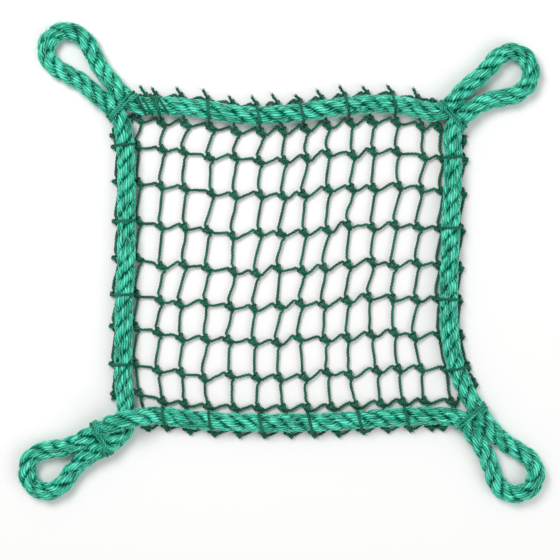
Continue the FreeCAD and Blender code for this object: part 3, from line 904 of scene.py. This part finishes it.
def points_between(across, here, there, start, end):
    """Control points from a knot's leg to the next knot's: across the rope, past a corner, or a bar."""
    if (here, there) in across:
        return crossing_points(*across[(here, there)], is_over(here, there))
    if (there, here) in across:
        return crossing_points(*across[(there, here)], is_over(there, here))[::-1]
    if here[0] != there[0] and here[1] != there[1]:
        return [flat(start + (end - start) * share) + UP * LYING_TWINE for share in GAP_PLACES]
    return bar_points(start, end, *here)


def twine_route(knots, across, number):
    """Every control point of one twine, and the knots that it visits."""
    stops = twine_stops(knots, number)
    kind, i, j = stops[0]
    tail = tail_of(kind, i, j, True)
    points = [knots[(i, j)] + tail * share for share in FIRST_TAIL]
    for k, (kind, i, j) in enumerate(stops):
        centre = knots[(i, j)]
        entry, shape, leaving = ("left", BIGHT, "up") if kind == "bight" else ("down", WRAP, "right")
        if k > 0:
            points.append(leg(centre, entry, j))
        points += knot_points(shape, centre, i, j)
        if k < len(stops) - 1:
            start = leg(centre, leaving, j)
            there = stops[k + 1][1:]
            end = leg(knots[there], "left" if kind == "wrap" else "down", there[1])
            points += [start] + points_between(across, (i, j), there, start, end)
    tail = tail_of(kind, i, j, False)
    points += [centre + tail * share for share in LAST_TAIL]
    return points, stops


def twine_line(points):
    """A twine's axis along its control points, kept off the ground."""
    line = evenly(nurbs_line(points), TWINE_RING)
    line[:, 2] = np.maximum(line[:, 2], LOWEST_TWINE)
    return line


def ply_section():
    """Outline of three plies lying together, for a radius of 1."""
    orbit = 1 - PLY_RADIUS
    half = math.pi / TWINE_PLIES
    turn = (np.arange(PLY_POINTS) / PLY_POINTS - 0.5) * 2 * half
    reach = orbit * np.cos(turn) + np.sqrt(np.maximum(PLY_RADIUS ** 2 - (orbit * np.sin(turn)) ** 2, 0.0))
    return np.tile(reach, TWINE_PLIES)


def twisted_twine(builder, line, radius, seed):
    """A twine of three plies along a line. Radius is one number or one for each point."""
    s = along(line)
    outline = ply_section()
    points = len(outline)
    angle = 2 * math.pi * (np.arange(points) / points)[None, :] + (2 * math.pi * s / TWINE_PITCH)[:, None]
    uneven = (1 + TWINE_UNEVENNESS * wavering(s, seed, TWINE_WAVE))[:, None]
    reach = outline[None, :] * np.broadcast_to(radius, s.shape)[:, None] * uneven
    rings = rings_along(line, carried_frames(line), np.cos(angle) * reach, np.sin(angle) * reach)
    mottle = TWINE_SHADE * wavering(s, seed + 5, TWINE_TONE_WAVE)
    # The tone has painted shade in the grooves between the plies, and a random mottle along the twine
    builder.tube(rings, s, (outline[None, :] - PLY_GROOVE) * PLY_SHADE + mottle[:, None])


def frayed_end(builder, end, way, draw):
    """The fibres of a cut end."""
    for _ in range(END_FIBRES):
        spread = draw.normal(0, 1, 3)
        out = norm(spread - way * (spread @ way)) * TWINE * draw.uniform(*END_FIBRE_PLACES)
        start = end + out - way * END_FIBRE_START
        heading = norm(way + spread * draw.uniform(*END_FIBRE_SPREAD))
        bend = draw.normal(0, END_FIBRE_CURL_STRAY, 3)
        length = draw.uniform(*END_FIBRE_LENGTHS)
        hair(builder, start, heading, bend, length, END_FIBRE_RADIUS, END_FIBRE_TONE)


def frayed_ends(builder, line, draw):
    frayed_end(builder, line[0], norm(line[0] - line[3]), draw)
    frayed_end(builder, line[-1], norm(line[-1] - line[-4]), draw)


def twine_radius(line, centres):
    """A twine is drawn tight in its knots and opens at its cut ends."""
    nearest = np.linalg.norm(line[:, None, :] - centres[None, :, :], axis=2).min(1)
    tight = np.clip(1 - (nearest - KNOT_REACH) / KNOT_EASING, 0, 1)
    radius = TWINE / 2 * (1 + (KNOT_TIGHTNESS - 1) * tight)
    s = along(line)
    from_end = np.minimum(s, s[-1] - s)
    return radius * (1 + END_SWELL * np.exp(-from_end / END_SWELL_LENGTH))


def make_netting(sides):
    """The twines, one for each diagonal staircase of knots."""
    knots = inner_knots(sides)
    across = outer_knots(sides, knots)
    for number in range(LAST_COLUMN + LAST_ROW):
        route, stops = twine_route(knots, across, number)
        line = twine_line(route)
        centres = np.array([knots[(i, j)] for _, i, j in stops])
        builder = Builder()
        twisted_twine(builder, line, twine_radius(line, centres), TWINE_SEED + number)
        frayed_ends(builder, line, np.random.default_rng(TWINE_END_SEED + number))
        piece = builder.build(f"twisted_twine_{number + 1:02d}", TWINE_GREEN)
        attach(piece, "net_panel")
        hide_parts(f"mesh_twine_{number + 1:02d}")


# ---------------------------------------------------------------- seizings


SEIZING_TURNS = 3
SEIZING_PITCH = 0.0022
SEIZING_START = 0.0087  # behind the hinge
SEIZING_REACH = 0.008446  # from a leg's axis to the control points round it
SEIZING_RADIUS = TWINE / 2 * 0.9
LEG_POINTS = 6  # control points round each leg, in half a turn
SEIZING_SIDES = {
    "top_left": ("top", "left"),
    "top_right": ("top", "right"),
    "bottom_right": ("bottom", "right"),
    "bottom_left": ("bottom", "left"),
}


def leg_centre(line, hinge, way, distance):
    """Where a rope's axis passes through the plane a distance behind a hinge."""
    offset = (line - hinge) @ way
    near = np.linalg.norm(line - hinge, axis=1) < NEARBY
    return line[int(np.argmin(np.where(near, np.abs(offset + distance), 1.0)))]


def seizing_turn(first, second, way):
    """Control points of one turn round the legs at these two places, a pitch back along the way."""
    spread = norm(second - first)
    lift = np.cross(way, spread)
    lift = lift if lift[2] > 0 else -lift
    step = way * SEIZING_PITCH / (2 * LEG_POINTS)
    points = []
    for centre, start in ((second, 90), (first, 270)):
        for k in range(LEG_POINTS):
            angle = math.radians(start - k * 180 / (LEG_POINTS - 1))
            out = spread * math.cos(angle) + lift * math.sin(angle)
            points.append(centre + out * SEIZING_REACH - step * len(points))
    return points


def make_seizing(name, sides):
    """A twine wound round both legs of a corner."""
    hinge = eye_place(name, 0, 0, ROPE_Z)
    way = eye_place(name, 1, 0, ROPE_Z) - hinge
    points = []
    for turn in range(SEIZING_TURNS):
        distance = SEIZING_START + turn * SEIZING_PITCH
        first, second = (leg_centre(sides[side], hinge, way, distance) for side in SEIZING_SIDES[name])
        points += seizing_turn(first, second, way)
    builder = Builder()
    twisted_twine(builder, twine_line(points), SEIZING_RADIUS, SEIZING_SEED + len(name))
    piece = builder.build(f"wound_seizing_{name}", SEIZING_GREEN)
    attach(piece, "net_panel")
    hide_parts(f"corner_seizing_{name}")


# ---------------------------------------------------------------- lashing

# Dark twine wound round the top rope beside the top left eye: where each turn lies along it
LASHING_X = (-0.1215, -0.1165, -0.1095, -0.1035)
LASHING_LEAN = 0.004  # of a turn along the rope, from its outer side to its inner one
LASHING_LEANS = (0.7, 1.3)  # shares of it
LASHING_DRIFT = 0.0016  # of a turn along the rope, from its start to its end
LASHING_STEPS = 12
LASHING_START = 60  # degrees round the rope
LASHING_STEP = 32
LASHING_REACH = STRAND_REACH + TWINE * 0.3
LASHING_LOOSENESS = (0.98, 1.03)  # shares of it
LASHING_RADIUS = TWINE / 2 * 0.85


def lashing_turn(middle, draw):
    """Control points of one turn round the rope at this place."""
    way = norm(np.array((-LASHING_LEAN * draw.uniform(*LASHING_LEANS), ROPE / 2, 0.0)))
    points = []
    for step in range(LASHING_STEPS + 1):
        angle = math.radians(LASHING_START - step * LASHING_STEP)
        out = way * math.cos(angle) + UP * math.sin(angle)
        drift = np.array((LASHING_DRIFT * (step / LASHING_STEPS - 0.5), 0.0, 0.0))
        points.append(middle + out * LASHING_REACH * draw.uniform(*LASHING_LOOSENESS) + drift)
    return points


def make_lashing(sides):
    """Single turns of the netting's twine that tie it to the rope, with their cut ends."""
    builder = Builder()
    rope = sides["top"]
    for number, x in enumerate(LASHING_X):
        draw = np.random.default_rng(LASHING_SEED + number)
        line = twine_line(lashing_turn(rope[at(rope, 0, x - MIDDLE[0])], draw))
        twisted_twine(builder, line, LASHING_RADIUS, LASHING_LAY_SEED + number)
        frayed_ends(builder, line, draw)
    piece = builder.build("selvedge_lashing", TWINE_GREEN)
    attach(piece, "net_panel")


# ---------------------------------------------------------------- floor, light and camera


def make_floor():
    mesh = bpy.data.meshes.new("floor")
    corners = [(x * FLOOR_HALF, y * FLOOR_HALF, 0) for x, y in ((-1, -1), (1, -1), (1, 1), (-1, 1))]
    mesh.from_pydata(corners, [], [(0, 1, 2, 3)])
    mesh.materials.append(floor_material())
    floor = bpy.data.objects.new("floor", mesh)
    bpy.context.scene.collection.objects.link(floor)


def make_light():
    """An even white world and two lamps that shine at the middle of the net."""
    world = bpy.data.worlds.new("studio")
    world.use_nodes = True
    background = world.node_tree.nodes["Background"]
    background.inputs["Color"].default_value = (1.0, 1.0, 1.0, 1)
    background.inputs["Strength"].default_value = WORLD_STRENGTH
    bpy.context.scene.world = world
    for name, place, width, power in LAMPS:
        light = bpy.data.lights.new(name, "AREA")
        light.shape = "DISK"
        light.size = width
        light.energy = power
        lamp = bpy.data.objects.new(name, light)
        lamp.location = place
        lamp.rotation_euler = (-Vector(place)).to_track_quat("-Z", "Y").to_euler()
        bpy.context.scene.collection.objects.link(lamp)


def make_camera():
    """It looks straight down on the netting."""
    data = bpy.data.cameras.new("camera")
    data.lens = LENS
    data.sensor_width = SENSOR
    camera = bpy.data.objects.new("camera", data)
    distance = VIEW_WIDTH * LENS / SENSOR
    camera.location = (CAMERA_AIM[0], CAMERA_AIM[1], CAMERA_AIM[2] + distance)
    bpy.context.scene.collection.objects.link(camera)
    bpy.context.scene.camera = camera
    bpy.context.scene.view_settings.view_transform = "Standard"


make_camera()
SIDES = make_border()
make_netting(SIDES)
for corner in SEIZING_SIDES:
    make_seizing(corner, SIDES)
make_lashing(SIDES)
make_floor()
make_light()
